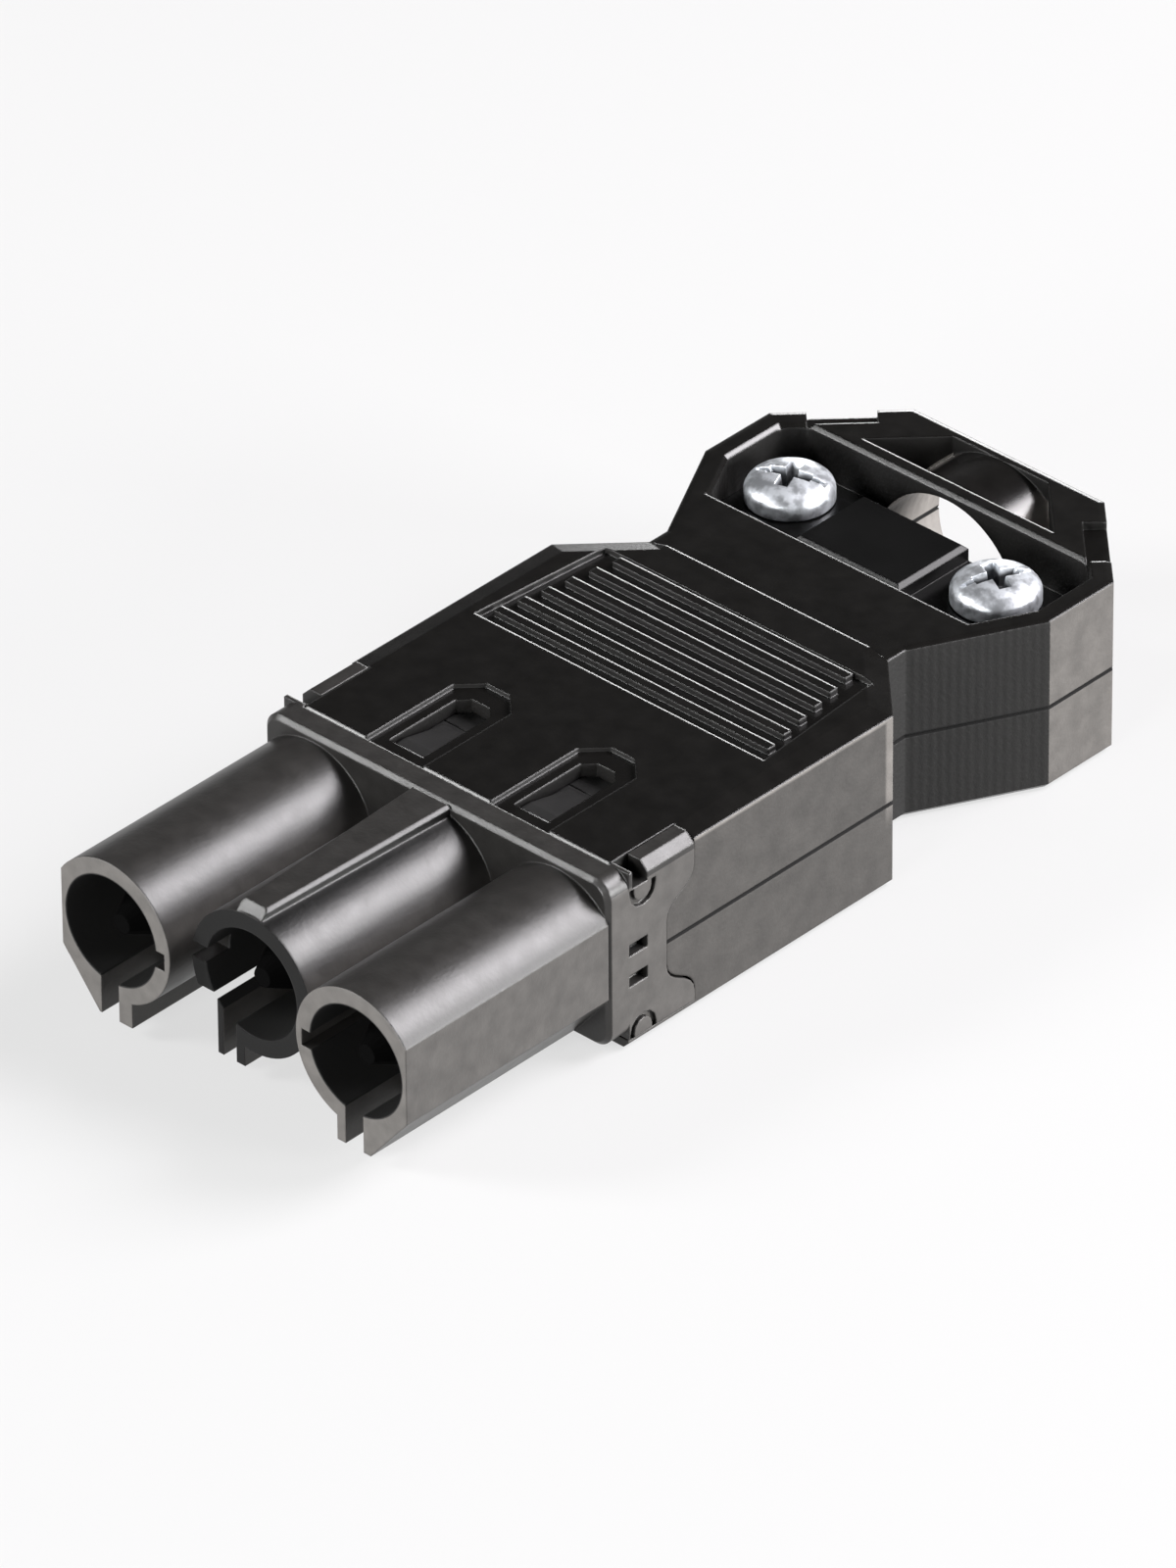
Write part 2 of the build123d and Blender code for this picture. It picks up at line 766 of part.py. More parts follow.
def cradle():
    """Ribs across the channel under the clamp bar, which narrow it to the clamp's radius."""
    ribs = []
    for i in range(cradle_rib_count):
        y = bar_front + (2 * i + 1) * bar_length / (2 * cradle_rib_count)
        y0 = y - cradle_rib_width / 2
        y1 = y + cradle_rib_width / 2
        rib = block(-channel_radius, channel_radius, y0, y1, channel_floor - beyond / 2, parting)
        ribs.append(rib - rod_y(0, parting, clamp_radius, y0 - beyond, y1 + beyond))
    return ribs


def lower_shell():
    """Lower half of the housing with the cable cradle, the nut pockets and the alignment lip."""
    body = slab(shell_outline(0), 0, parting)
    base = body.faces().sort_by(Axis.Z)[0].edges().filter_by(lambda e: e.center().Y > shell_front + fit)
    body = chamfer(base, base_edge)
    rim = body.faces().sort_by(Axis.Z)[-1].edges().filter_by(lambda e: e.center().Y > shell_front + fit)
    body = chamfer(rim, parting_edge)
    body -= chamber(shell_floor, parting + beyond)
    body -= ear_room(-beyond, parting + beyond)
    body -= cable_channel()
    for rib in cradle():
        body += rib
    body += lip_ring(shell_wall - lip_thickness, shell_wall, parting - beyond, parting + lip_height)
    for x in latch_x:
        body -= latch_window(x, 0, -1)
    body -= grip_cut(0, -1)
    for x in clamp_x:
        body -= rod_z(x, clamp_screw_y, clamp_screw_radius + hole_fit, -beyond, parting + beyond)
        flats = nut_across_flats / 2 + fit
        pocket = extrude(RegularPolygon(flats, nut_sides, major_radius=False), nut_above_base + nut_thickness)
        body -= Pos(x, clamp_screw_y, 0) * pocket
    for x in (-peg_x, peg_x):
        body += rod_z(x, peg_y, peg_radius, parting - beyond, parting + peg_height)
    return body


def clamp_bar():
    """Bar over the cable: flat ends under the screws, raised plate between them, saddle in the throat."""
    ends = block(-bar_half, bar_half, bar_front, bar_rear, well_floor_z, bar_end_top_z)
    ends = chamfer(ends.edges().filter_by(Axis.Z), bar_end_corner)
    plate_half = bar_plate_half_width
    plate = block(-plate_half, plate_half, bar_front, bar_rear, well_floor_z, bar_plate_top_z)
    plate = chamfer(plate.faces().sort_by(Axis.Z)[-1].edges(), bar_plate_edge)
    saddle_half = channel_radius - saddle_gap
    saddle = block(-saddle_half, saddle_half, bar_front, bar_rear, saddle_bottom_z, bar_end_top_z)
    body = ends + plate + saddle
    body -= rod_y(0, parting, clamp_radius, bar_front - beyond, bar_rear + beyond)
    for x in clamp_x:
        body -= rod_z(x, clamp_screw_y, clamp_screw_radius + hole_fit, well_floor_z - beyond, top)
    return body


def clamp_screw(x):
    """Cross-recessed pan-head screw through the bar and both shells into a nut."""
    head_top = bar_end_top_z + clamp_head_height
    head = rod_z(x, clamp_screw_y, clamp_head_radius, bar_end_top_z, head_top)
    end_z = bar_end_top_z - clamp_screw_length
    body = head + rod_z(x, clamp_screw_y, clamp_screw_radius, end_z, bar_end_top_z)
    for angle in (0, 90):
        arm = Pos(x, clamp_screw_y, head_top) * Rot(0, 0, angle)
        body -= arm * Box(cross_length, cross_width, 2 * cross_depth)
    return body


def clamp_nut(x):
    """Hexagon nut in its pocket under the lower shell."""
    plan = extrude(RegularPolygon(nut_across_flats / 2, nut_sides, major_radius=False), nut_thickness)
    body = Pos(x, clamp_screw_y, nut_above_base) * plan
    return body - rod_z(x, clamp_screw_y, clamp_screw_radius + thread_fit, 0, parting)


def all_pieces():
    """Every separate piece under its name."""
    pieces = {
        "contact_carrier": contact_carrier(),
        "carrier_cover": carrier_cover(),
        "upper_shell": upper_shell(),
        "lower_shell": lower_shell(),
        "cable_clamp_bar": clamp_bar(),
    }
    for name, x, mouth in zip(pole_names, pole_x, tube_front):
        pieces[f"{name}_pin"] = contact_pin(x, mouth)
        pieces[f"{name}_pin_tip"] = pin_tip(x, mouth)
        pieces[f"{name}_terminal_cage"] = terminal_cage(x)
        pieces[f"{name}_terminal_screw"] = terminal_screw(x)
        pieces[f"{name}_wire_guard"] = wire_guard(x)
    for side, x in zip(("left", "right"), clamp_x):
        pieces[f"{side}_clamp_screw"] = clamp_screw(x)
        pieces[f"{side}_clamp_nut"] = clamp_nut(x)
    return pieces


os.makedirs("parts", exist_ok=True)
for node, piece in all_pieces().items():
    placed = Pos(0, -total_length / 2, 0) * piece
    export_step(placed, f"parts/{node}.step")
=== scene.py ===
import json
from math import atan2, cos, pi, radians, sin

import bmesh
import bpy
from mathutils import Matrix, Vector


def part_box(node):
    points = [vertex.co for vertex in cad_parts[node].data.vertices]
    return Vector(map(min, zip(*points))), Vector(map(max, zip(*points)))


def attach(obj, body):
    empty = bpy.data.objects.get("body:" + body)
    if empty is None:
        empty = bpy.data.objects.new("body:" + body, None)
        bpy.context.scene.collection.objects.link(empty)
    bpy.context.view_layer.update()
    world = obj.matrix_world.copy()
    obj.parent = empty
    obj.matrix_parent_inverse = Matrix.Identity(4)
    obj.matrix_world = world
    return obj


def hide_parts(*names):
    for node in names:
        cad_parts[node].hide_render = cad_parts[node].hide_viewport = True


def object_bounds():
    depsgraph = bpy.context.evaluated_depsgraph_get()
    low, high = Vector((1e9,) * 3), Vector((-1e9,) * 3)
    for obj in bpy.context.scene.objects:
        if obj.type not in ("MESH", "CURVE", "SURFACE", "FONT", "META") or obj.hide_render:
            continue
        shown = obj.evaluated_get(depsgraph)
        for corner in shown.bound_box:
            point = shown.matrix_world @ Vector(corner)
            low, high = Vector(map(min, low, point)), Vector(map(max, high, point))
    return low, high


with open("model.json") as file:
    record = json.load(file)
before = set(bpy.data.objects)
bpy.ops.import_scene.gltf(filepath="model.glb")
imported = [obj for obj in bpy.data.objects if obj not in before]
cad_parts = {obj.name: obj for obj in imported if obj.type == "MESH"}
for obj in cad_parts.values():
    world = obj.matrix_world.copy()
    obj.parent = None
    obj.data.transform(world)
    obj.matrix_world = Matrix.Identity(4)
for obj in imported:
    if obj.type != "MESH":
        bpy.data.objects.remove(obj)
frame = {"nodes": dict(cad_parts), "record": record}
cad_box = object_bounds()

# The part is a black three-pole installation connector with bright screws, lying on a white floor.
# Lengths are in metres, in the same frame as the CAD model.
MM = 0.001
FRONT = cad_box[0][1]

# Camera of the photograph; the picture's middle is a little left of the target and below it
VIEW_AZIMUTH = radians(42.89)
VIEW_ELEVATION = radians(33.96)
VIEW_ROLL = radians(-0.32)
VIEW_DISTANCE = 1.0
VIEW_TARGET = Vector((0.0, FRONT + 35.0 * MM, 6.0 * MM))
AIM_LEFT = 2.884 * MM
AIM_BELOW = 1.014 * MM
PIXELS_PER_METRE = 16950.0
IMAGE_HEIGHT = 1600.0
SENSOR_HEIGHT = 24.0
NEAREST_SEEN = 10.0 * MM

# Places taken from the CAD nodes
neutral_pin_low, neutral_pin_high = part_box("neutral_pin")
POLE_PITCH, _, AXIS_HEIGHT = (neutral_pin_low + neutral_pin_high) / 2
screw_low, screw_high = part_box("right_clamp_screw")
SCREW_X, SCREW_Y, _ = (screw_low + screw_high) / 2
SHANK_END = screw_low.z
HEAD_TOP = screw_high.z
HEAD_RADIUS = screw_high.x - SCREW_X
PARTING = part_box("upper_shell")[0].z
HOUSING_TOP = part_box("upper_shell")[1].z

# Places on the housing, repeated from the CAD model
SIDE_TOP = HOUSING_TOP - 0.4 * MM
SHOULDER = FRONT + 42.6 * MM
WAIST = FRONT + 47.5 * MM
FLARE_LENGTH = 8.2 * MM
FLARE_WIDENING = 4.35 * MM
FLARE_ANGLE = atan2(FLARE_WIDENING, FLARE_LENGTH)
FLARE_RIB_PITCH = 0.6 * MM
OUTER_SIDE = 13.5 * MM
CHANNEL_RADIUS = 5.7 * MM
CHANNEL_MARGIN = 0.1 * MM
CHANNEL_START = FRONT + 63.0 * MM
SHIELD_RADIUS = 6.25 * MM
SHIELD_HALF = 0.15 * MM

# Places on the carrier, repeated from the CAD model
BORE_RADIUS = 3.7 * MM
RING_FACE = FRONT + 2.2 * MM
INSIDE_SHELL = FRONT + 20.5 * MM
INSIDE_HALF = 12.0 * MM
FIN_BASE = 11.6 * MM
FIN_HALF = 1.9 * MM
FIN_FOOT = 10.8 * MM

# Clamp screws: the head, the thread, and the half length, half width and depth of the cuts in the head
HEAD_BASE = 10.55 * MM
HEAD_SIDE = 0.75 * MM
HEAD_EDGE = 0.12 * MM
DOME_STEPS = 10
DOME_FULLNESS = 0.75
TURNING_STEPS = 48
SHANK_RADIUS = 1.5 * MM
THREAD_ROOT = 1.26 * MM
THREAD_PITCH = 0.5 * MM
THREAD_RUN_IN = 0.1 * MM
THREAD_TO_HEAD = 0.6 * MM
PLAIN_NECK = 0.3 * MM
CROSS = (1.75 * MM, 0.5 * MM, 1.2 * MM)
SLOT = (2.4 * MM, 0.3 * MM, 0.45 * MM)
CROSS_FOOT_LENGTH = 0.55
CUT_FOOT_WIDTH = 0.6
CUTTER_RISE = 0.5 * MM
RECESS_RADIUS = 1.9 * MM
SHARP_ANGLE = radians(38.0)

# Limits between which a mask rises from 0 to 1, of one part of the surface's normal
LEVEL_FACE = (0.35, 0.6)
SHIELD_TURN = (0.45, 0.85)
CARRIER_SIDE_FACE = (0.8, 0.98)
CARRIER_FRONT_FACE = (0.8, 0.95)

# Limits between which a mask rises from 0 to 1, of a place
REAR_BLEND = (WAIST - 1.0 * MM, WAIST)
# Limits of the painted highlight on the rear corner and upper rim of the outer sides
CORNER_BLEND = (SHOULDER - 0.75 * MM, SHOULDER - 0.45 * MM)
CORNER_FADE = (PARTING - 2.0 * MM, PARTING + 0.5 * MM)
RIM_BLEND = (SIDE_TOP - 0.3 * MM, SIDE_TOP - 0.1 * MM)
JOINT_BLEND = (0.12 * MM, 0.2 * MM)
# Limits of painted light in the channel, and of painted shade in the bores, beside the fin and in the screw
# recesses
CHANNEL_BLEND = (CHANNEL_START, CHANNEL_START + 4.0 * MM)
BORE_BLEND = (BORE_RADIUS + 0.02 * MM, BORE_RADIUS + 0.12 * MM)
BESIDE_FIN_BLEND = (FIN_HALF, FIN_HALF + 1.4 * MM)
RECESS_BLEND = (HEAD_TOP - 0.6 * MM, HEAD_TOP - 0.2 * MM)

# Limits of one part of the normal, past which a face is of that kind
OUTER_SIDE_FACING = 0.94
GRIP_RIB_FACING = -0.5
RING_FACING = -0.9
FIN_WALL_FACING = 0.1

# Tones of the black plastics, as linear levels; all but the tops, the joint and the warmth carry painted
# light or shade, some in part
SHELL_TOP_TONE = 0.0035
# Painted light on the front faces of the grip ribs
GRIP_RIB_LIT_TONE = 0.006
# The shell's outer sides: partly their spark-eroded finish, partly painted light from the side
SHELL_SIDE_LIT_TONE = 0.027
# Painted highlights: on the rear sides, on the sides' upper rim and rear corner, in the cable channel and
# on the shield
REAR_SIDE_HIGHLIGHT_TONE = 0.055
SIDE_EDGE_HIGHLIGHT_TONE = 0.085
CHANNEL_LIGHT_TONE = 0.12
SHIELD_HIGHLIGHT_TONE = 0.4
JOINT_TONE = 0.001
CARRIER_TOP_TONE = 0.012
# Painted shade on the carrier's fronts, painted light on its sides and mouth rings
CARRIER_FRONT_SHADE_TONE = 0.008
CARRIER_SIDE_LIT_TONE = 0.04
RING_LIT_TONE = 0.08
# Painted shade in the middle mouth, on the tube beside the fin and in the bores
MIDDLE_RING_SHADE_TONE = 0.001
FIN_SHADOW_TONE = 0.001
BORE_SHADE_TONE = 0.002
SHELL_WARMTH = 0.07
CARRIER_WARMTH = 0.06

# Shares of its tone between which a plastic clouds
SHELL_CLOUDING = (0.55, 1.45)
CARRIER_CLOUDING = (0.6, 1.4)
PLAIN_CLOUDING = (0.8, 1.2)

# Metals: limits of the noise between dull and bright, and shares of the colour where dull or in painted
# recess shade
MOTTLE_BLEND = (0.35, 0.62)
HIDDEN_METAL_DULL = 0.86
ZINC_DULL = 0.5
ZINC_RECESS_SHADE = 0.15

# Roughness, with pairs between which it varies, and refraction of the plastics
POLISHED = (0.17, 0.25)
SPARK_ERODED = 0.5
SATIN = (0.32, 0.44)
BORE_ROUGHNESS = 0.7
MATT = 1.0
PLAIN_ROUGHNESS_SPREAD = 0.05
METAL_ROUGHNESS_SPREAD = 0.15
SHELL_IOR = 1.37
CARRIER_IOR = 1.42
PLAIN_IOR = 1.5

# Scale and detail of each noise
SHELL_CLOUD = (700.0, 5.0)
SHELL_GRAIN = (3600.0, 4.0)
CARRIER_CLOUD = (900.0, 5.0)
CARRIER_GRAIN = (3400.0, 4.0)
PLAIN_CLOUD = (260.0, 3.0)
PLAIN_GRAIN = (4200.0, 3.0)
TOOL_MARKS = (1300.0, 4.0)

# Widths of the soft edges, depths of the bumps, and how strong the shell's grain is on its tops and sides
SHELL_EDGE_RADIUS = 0.2 * MM
CARRIER_EDGE_RADIUS = 0.18 * MM
PLAIN_EDGE_RADIUS = 0.14 * MM
METAL_EDGE_RADIUS = 0.08 * MM
BEVEL_SAMPLES = 6
SHELL_GRAIN_DEPTH = 0.03 * MM
CARRIER_GRAIN_DEPTH = 0.011 * MM
PLAIN_GRAIN_DEPTH = 0.005 * MM
FLARE_RIB_DEPTH = 0.005 * MM
TOP_GRAIN = 0.08
SIDE_GRAIN = 0.9
TOOL_MARK_DEPTH = 0.002 * MM
ZINC_MARK_DEPTH = 0.04 * MM

# Sockets of a Mix node by the kind of value: the first, the second and the result
MIX_SOCKETS = {"FLOAT": (2, 3, 0), "VECTOR": (4, 5, 1), "RGBA": (6, 7, 2)}

# Studio
FLOOR_SIZE = 4.0
FLOOR_TONE = 0.12
FLOOR_ROUGHNESS = 0.9
FLOOR_GLOW = 0.645
SURROUND_LEVEL = 0.06
HORIZON_BAND = 0.05
LAMP_DISTANCE = 0.6


def away(azimuth, elevation):
    """Unit vector away from the part; azimuth 0 is in front of the mouths, a quarter turn is on +X."""
    return Vector((sin(azimuth) * cos(elevation), -cos(azimuth) * cos(elevation), sin(elevation)))


def place_camera():
    """A long lens at the photograph's angle, turned a little towards the picture's middle."""
    back = away(VIEW_AZIMUTH, VIEW_ELEVATION)
    level = Vector((cos(VIEW_AZIMUTH), sin(VIEW_AZIMUTH), 0.0))
    upright = back.cross(level)
    right = level * cos(VIEW_ROLL) + upright * sin(VIEW_ROLL)
    up = upright * cos(VIEW_ROLL) - level * sin(VIEW_ROLL)
    place = VIEW_TARGET + back * VIEW_DISTANCE
    aim = VIEW_TARGET - right * AIM_LEFT - up * AIM_BELOW
    back = (place - aim).normalized()
    right = (right - back * right.dot(back)).normalized()
    up = back.cross(right)
    data = bpy.data.cameras.new("view")
    data.sensor_fit = "VERTICAL"
    data.sensor_height = SENSOR_HEIGHT
    data.lens = PIXELS_PER_METRE * VIEW_DISTANCE / IMAGE_HEIGHT * SENSOR_HEIGHT
    data.clip_start = NEAREST_SEEN
    camera = bpy.data.objects.new("view", data)
    bpy.context.scene.collection.objects.link(camera)
    camera.matrix_world = Matrix.Translation(place) @ Matrix((right, up, back)).transposed().to_4x4()
    bpy.context.scene.camera = camera


def area_light(name, azimuth, elevation, size, power, colour=(1.0, 1.0, 1.0)):
    """A square soft box that looks at the middle of the part."""
    data = bpy.data.lights.new(name, "AREA")
    data.shape = "SQUARE"
    data.size = size
    data.energy = power
    data.color = colour
    lamp = bpy.data.objects.new(name, data)
    bpy.context.scene.collection.objects.link(lamp)
    back = away(radians(azimuth), radians(elevation))
    lamp.location = VIEW_TARGET + back * LAMP_DISTANCE
    lamp.rotation_euler = back.to_track_quat("Z", "Y").to_euler()


class Graph:
    """Short ways to add shader nodes to a new material or world."""

    def __init__(self, owner, shader):
        owner.use_nodes = True
        self.owner = owner
        self.nodes = owner.node_tree.nodes
        self.links = owner.node_tree.links
        self.shader = self.nodes[shader]
        self.coordinates = self.nodes.new("ShaderNodeTexCoord").outputs

    def put(self, value, socket):
        """Sets a socket to a number or colour, or links another socket to it."""
        if isinstance(value, (int, float, tuple)):
            socket.default_value = value
        else:
            self.links.new(value, socket)

    def give(self, name, value):
        """Sets or links one input of the shader."""
        self.put(value, self.shader.inputs[name])

    def math(self, operation, *values):
        """One Math node."""
        node = self.nodes.new("ShaderNodeMath")
        node.operation = operation
        for value, socket in zip(values, node.inputs):
            self.put(value, socket)
        return node.outputs[0]

    def product(self, first, *others):
        """The values multiplied, so with masks it is 1 where all of them are 1."""
        result = first
        for other in others:
            result = self.math("MULTIPLY", result, other)
        return result

    def minus(self, a, b):
        """What is left of a without b."""
        return self.math("SUBTRACT", a, b)

    def opposite(self, mask):
        """1 where the mask is 0, and 0 where it is 1."""
        return self.math("SUBTRACT", 1.0, mask)

    def unsigned(self, value):
        """The value without its sign."""
        return self.math("ABSOLUTE", value)

    def above(self, value, limit):
        """1 where the value is over the limit, and 0 elsewhere."""
        return self.math("GREATER_THAN", value, limit)

    def below(self, value, limit):
        """1 where the value is under the limit, and 0 elsewhere."""
        return self.math("LESS_THAN", value, limit)

    def distance(self, a, b):
        """How far a place is from a line, given the two steps across it."""
        return self.math("SQRT", self.math("ADD", self.product(a, a), self.product(b, b)))

    def varied(self, noise, limits):
        """Goes evenly from the first limit where the noise is 0 to the second where it is 1."""
        low, high = limits
        return self.math("MULTIPLY_ADD", noise, high - low, low)

    def parts(self, vector):
        """The X, Y and Z of a vector."""
        node = self.nodes.new("ShaderNodeSeparateXYZ")
        self.links.new(vector, node.inputs[0])
        return node.outputs

    def ramp(self, value, limits):
        """Rises smoothly from 0 at the lower limit to 1 at the upper one."""
        node = self.nodes.new("ShaderNodeMapRange")
        node.interpolation_type = "SMOOTHSTEP"
        self.put(value, node.inputs["Value"])
        node.inputs["From Min"].default_value, node.inputs["From Max"].default_value = limits
        return node.outputs["Result"]

    def blend(self, share, a, b, kind="FLOAT"):
        """Goes from a where the share is 0 to b where it is 1."""
        node = self.nodes.new("ShaderNodeMix")
        node.data_type = kind
        first, second, result = MIX_SOCKETS[kind]
        self.put(share, node.inputs[0])
        self.put(a, node.inputs[first])
        self.put(b, node.inputs[second])
        return node.outputs[result]

    def warm_grey(self, level, warmth):
        """Grey of a changing level, with a little more red and a little less blue."""
        node = self.nodes.new("ShaderNodeCombineColor")
        for share, socket in zip((1.0 + warmth, 1.0, 1.0 - warmth), node.inputs):
            self.put(self.product(level, share), socket)
        return node.outputs[0]

    def noise(self, scale_and_detail):
        """Noise that is fixed to the part."""
        node = self.nodes.new("ShaderNodeTexNoise")
        node.inputs["Scale"].default_value, node.inputs["Detail"].default_value = scale_and_detail
        self.links.new(self.coordinates["Object"], node.inputs["Vector"])
        return node.outputs["Fac"]

    def bump(self, height, distance, normal):
        """The normal, tilted by a height from 0 to 1 over the distance."""
        node = self.nodes.new("ShaderNodeBump")
        node.inputs["Strength"].default_value = 1.0
        node.inputs["Distance"].default_value = distance
        self.put(height, node.inputs["Height"])
        self.put(normal, node.inputs["Normal"])
        return node.outputs["Normal"]

    def soft_edges(self, radius, sharp=None):
        """Normal that rounds the edges, but not where sharp is 1."""
        node = self.nodes.new("ShaderNodeBevel")
        node.samples = BEVEL_SAMPLES
        node.inputs["Radius"].default_value = radius
        if sharp is None:
            return node.outputs["Normal"]
        true_normal = self.nodes.new("ShaderNodeNewGeometry").outputs["Normal"]
        return self.blend(sharp, node.outputs["Normal"], true_normal, "VECTOR")

    def seen(self):
        """1 for rays that show the thing, also in metal and glass, and 0 for its light on others."""
        rays = self.nodes.new("ShaderNodeLightPath").outputs
        direct = self.math("MAXIMUM", rays["Is Camera Ray"], rays["Is Glossy Ray"])
        return self.math("MAXIMUM", direct, rays["Is Transmission Ray"])

    def finish(self, colour, roughness, normal):
        """Completes a material and returns it."""
        self.give("Base Color", colour)
        self.give("Roughness", roughness)
        self.give("Normal", normal)
        return self.owner


def surface(name):
    """The graph of a new material."""
    return Graph(bpy.data.materials.new(name), "Principled BSDF")


def shaded(colour, share=1.0):
    """A share of a red, green and blue colour, with the alpha that a socket asks for."""
    return tuple(channel * share for channel in colour) + (1.0,)


def grey(level):
    """A neutral colour."""
    return shaded((level, level, level))


def shell_plastic():
    """Black plastic: polished above and below, spark-eroded on the sides, ribbed on the flare, with painted
    light on its sides, rims, rib fronts, channel and shield.
    """
    g = surface("shell_black")
    x, y, z = g.parts(g.coordinates["Object"])
    facing_x, facing_y, facing_z = g.parts(g.coordinates["Normal"])
    across = g.unsigned(x)
    from_parting = g.minus(z, PARTING)
    from_channel = g.distance(x, from_parting)
    cloud = g.noise(SHELL_CLOUD)

    # Masks of the places that differ; all but the joint carry painted light, some beside a real finish
    side = g.opposite(g.ramp(g.unsigned(facing_z), LEVEL_FACE))
    rear = g.ramp(y, REAR_BLEND)
    outer = g.product(g.above(across, OUTER_SIDE), g.above(g.unsigned(facing_x), OUTER_SIDE_FACING))
    # Painted light: front-facing faces ahead of the waist, such as the grip ribs, a little lighter than the
    # tops
    lit_rib_front = g.product(g.below(facing_y, GRIP_RIB_FACING), g.opposite(rear))
    joint = g.opposite(g.ramp(g.unsigned(from_parting), JOINT_BLEND))
    # Painted light inside the rear of the cable channel
    channel = g.product(g.below(from_channel, CHANNEL_RADIUS + CHANNEL_MARGIN), g.ramp(y, CHANNEL_BLEND))
    # Painted highlight on the flanks of the arch round the cable channel
    in_shield = g.math("COMPARE", from_channel, SHIELD_RADIUS, SHIELD_HALF)
    shield_highlight = g.product(in_shield, g.ramp(g.unsigned(facing_x), SHIELD_TURN), g.above(y, CHANNEL_START))
    # Painted highlight on the upper rim and the rear corner of the outer sides
    corner = g.product(g.ramp(y, CORNER_BLEND), g.ramp(z, CORNER_FADE))
    edge_highlight = g.product(g.math("MAXIMUM", corner, g.ramp(z, RIM_BLEND)), outer, g.opposite(rear))

    # Tone, with its painted light, and roughness
    # Painted light in the cable channel, over the polished tone
    polished = g.blend(channel, SHELL_TOP_TONE, CHANNEL_LIGHT_TONE)
    inner = g.blend(lit_rib_front, polished, GRIP_RIB_LIT_TONE)
    # Outer sides lighter, partly for their spark-eroded finish and partly as painted light; painted
    # highlight on the rear sides
    upright = g.blend(outer, inner, g.blend(rear, SHELL_SIDE_LIT_TONE, REAR_SIDE_HIGHLIGHT_TONE))
    upright = g.blend(edge_highlight, upright, SIDE_EDGE_HIGHLIGHT_TONE)
    level = g.product(g.blend(side, polished, upright), g.varied(cloud, SHELL_CLOUDING))
    level = g.blend(shield_highlight, level, SHIELD_HIGHLIGHT_TONE)
    level = g.blend(joint, level, JOINT_TONE)
    roughness = g.blend(side, g.varied(cloud, POLISHED), SPARK_ERODED)
    roughness = g.blend(joint, roughness, MATT)

    # Grain, and upright ribs that follow the slanting sides of the flare
    along_flare = g.math("ADD", g.product(across, sin(FLARE_ANGLE)), g.product(y, cos(FLARE_ANGLE)))
    wave = g.math("SINE", g.product(along_flare, 2.0 * pi / FLARE_RIB_PITCH))
    ribs = g.product(wave, side, rear, g.opposite(outer))
    grain = g.product(g.noise(SHELL_GRAIN), g.blend(side, TOP_GRAIN, SIDE_GRAIN))
    normal = g.bump(grain, SHELL_GRAIN_DEPTH, g.soft_edges(SHELL_EDGE_RADIUS, joint))
    normal = g.bump(ribs, FLARE_RIB_DEPTH, normal)
    g.give("IOR", SHELL_IOR)
    return g.finish(g.warm_grey(level, SHELL_WARMTH), roughness, normal)


def carrier_plastic():
    """Satin grey-black plastic, with painted shade inside the bores, inside the shells, on the fronts, in
    the middle mouth and beside the fin, and painted light on the sides and mouth rings.
    """
    g = surface("carrier_black")
    x, y, z = g.parts(g.coordinates["Object"])
    facing_x, facing_y, _ = g.parts(g.coordinates["Normal"])
    across = g.unsigned(x)
    cloud = g.noise(CARRIER_CLOUD)

    # Masks of the places where light or shade is painted
    by_middle = g.below(across, POLE_PITCH / 2)
    from_pole = g.math("MINIMUM", across, g.unsigned(g.minus(across, POLE_PITCH)))
    from_bore = g.distance(from_pole, g.minus(z, AXIS_HEIGHT))
    # Painted shade inside the bores and where the shells close over the carrier
    enclosed = g.product(g.above(y, INSIDE_SHELL), g.below(across, INSIDE_HALF))
    outside = g.product(g.ramp(from_bore, BORE_BLEND), g.opposite(enclosed))
    # Painted light on the mouth rings, and painted shade on the middle one
    ring = g.product(g.below(facing_y, RING_FACING), g.below(y, RING_FACE))
    shaded_middle_ring = g.product(ring, by_middle)
    # Painted light on the sides, painted shade on the fronts
    side = g.product(g.ramp(g.unsigned(facing_x), CARRIER_SIDE_FACE), g.below(z, FIN_BASE))
    front = g.ramp(g.product(facing_y, -1.0), CARRIER_FRONT_FACE)
    # Painted shadow on the fin's right wall and on the tube top beside it
    beside_fin = g.opposite(g.ramp(x, BESIDE_FIN_BLEND))
    above_tube = g.product(g.above(z, FIN_FOOT), by_middle)
    fin_shadow = g.product(beside_fin, above_tube, g.above(facing_x, FIN_WALL_FACING))

    # Tone, with its painted light and shade, and roughness
    level = g.blend(side, g.blend(front, CARRIER_TOP_TONE, CARRIER_FRONT_SHADE_TONE), CARRIER_SIDE_LIT_TONE)
    level = g.blend(fin_shadow, level, FIN_SHADOW_TONE)
    level = g.blend(ring, level, RING_LIT_TONE)
    level = g.blend(shaded_middle_ring, level, MIDDLE_RING_SHADE_TONE)
    level = g.product(level, g.varied(cloud, CARRIER_CLOUDING))
    level = g.blend(outside, BORE_SHADE_TONE, level)
    roughness = g.blend(outside, BORE_ROUGHNESS, g.varied(cloud, SATIN))
    roughness = g.blend(shaded_middle_ring, roughness, MATT)

    normal = g.bump(g.noise(CARRIER_GRAIN), CARRIER_GRAIN_DEPTH, g.soft_edges(CARRIER_EDGE_RADIUS))
    g.give("IOR", CARRIER_IOR)
    return g.finish(g.warm_grey(level, CARRIER_WARMTH), roughness, normal)


